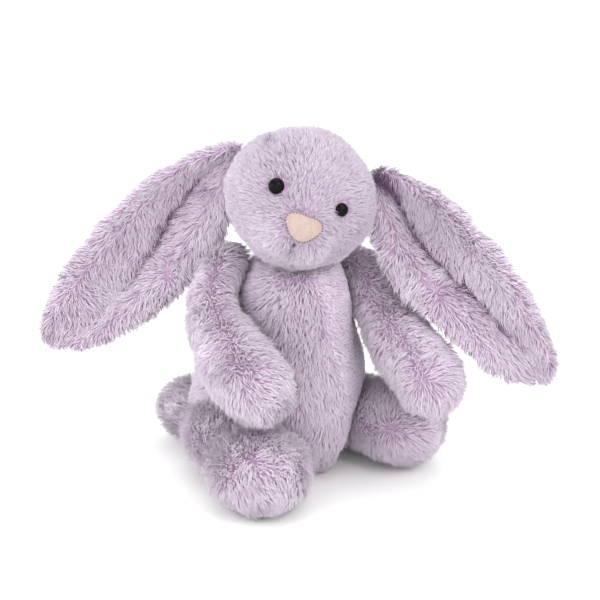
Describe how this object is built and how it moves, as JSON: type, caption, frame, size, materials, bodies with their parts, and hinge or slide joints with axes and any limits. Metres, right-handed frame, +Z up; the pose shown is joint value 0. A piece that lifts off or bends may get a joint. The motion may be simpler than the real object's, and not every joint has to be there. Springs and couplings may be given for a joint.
{
  "type": "plush bunny",
  "caption": "Seated lilac plush bunny with long lop ears, bead eyes and a suede nose; head, ears, arms, legs and tail turn on their seams",
  "frame": {"origin": "middle of the flat seat under the torso, on the surface the toy sits on", "axes": "+X along the span of the ears towards the bunny's left ear tip, -Y the way the face looks, +Z up"},
  "size_m": [0.3001, 0.1526, 0.206],
  "materials": {
    "lilac_plush": "long soft pile, brushed, matt with a light sheen",
    "fibre_filling": "loose white polyester fibre",
    "calico": "plain weave cotton pouch of pellets",
    "nose_suede": "fine suede cloth, matt",
    "eye_bead": "polished black bead",
    "washer_nylon": "plain moulded"
  },
  "bodies": {
    "torso": {"torso_cover": "lilac_plush", "torso_filling": "fibre_filling", "torso_pellet_bag": "calico"},
    "head": {"head_cover": "lilac_plush", "head_filling": "fibre_filling", "nose_patch": "nose_suede", "eye_left": "eye_bead", "eye_right": "eye_bead", "eye_washer_left": "washer_nylon", "eye_washer_right": "washer_nylon"},
    "ear_left": {"ear_left_lining": "lilac_plush", "ear_left_back": "lilac_plush"},
    "ear_right": {"ear_right_lining": "lilac_plush", "ear_right_back": "lilac_plush"},
    "arm_left": {"arm_left_cover": "lilac_plush", "arm_left_filling": "fibre_filling"},
    "arm_right": {"arm_right_cover": "lilac_plush", "arm_right_filling": "fibre_filling"},
    "leg_left": {"leg_left_cover": "lilac_plush", "leg_left_filling": "fibre_filling"},
    "leg_right": {"leg_right_cover": "lilac_plush", "leg_right_filling": "fibre_filling"},
    "tail": {"tail_cover": "lilac_plush", "tail_filling": "fibre_filling"}
  },
  "joints": [
    {"name": "neck_tilt", "type": "hinge", "parent": "torso", "child": "head", "pos_m": [0.011, -0.009, 0.136], "axis": [0, 1, 0], "range_deg": [-9, 0]},
    {"name": "ear_left_lift", "type": "hinge", "parent": "head", "child": "ear_left", "pos_m": [0.058, -0.001, 0.174], "axis": [0, 1, 0], "range_deg": [-30, 0]},
    {"name": "ear_right_lift", "type": "hinge", "parent": "head", "child": "ear_right", "pos_m": [-0.036, 0.005, 0.19], "axis": [0, 1, 0], "range_deg": [0, 30]},
    {"name": "shoulder_left_swing", "type": "hinge", "parent": "torso", "child": "arm_left", "pos_m": [0.041, 0.013, 0.117], "axis": [0, 0, 1], "range_deg": [-12, 0]},
    {"name": "shoulder_right_swing", "type": "hinge", "parent": "torso", "child": "arm_right", "pos_m": [-0.034, -0.008, 0.12], "axis": [0, 0, 1], "range_deg": [-12, 4]},
    {"name": "hip_left_swing", "type": "hinge", "parent": "torso", "child": "leg_left", "pos_m": [0.031, 0.024, 0.022], "axis": [0, 0, 1], "range_deg": [-5, 24]},
    {"name": "hip_right_swing", "type": "hinge", "parent": "torso", "child": "leg_right", "pos_m": [-0.033, -0.022, 0.022], "axis": [0, 0, 1], "range_deg": [-24, 5]},
    {"name": "tail_wag", "type": "hinge", "parent": "torso", "child": "tail", "pos_m": [-0.042, 0.017, 0.021], "axis": [0, 0, 1], "range_deg": [-8, 8]}
  ]
}
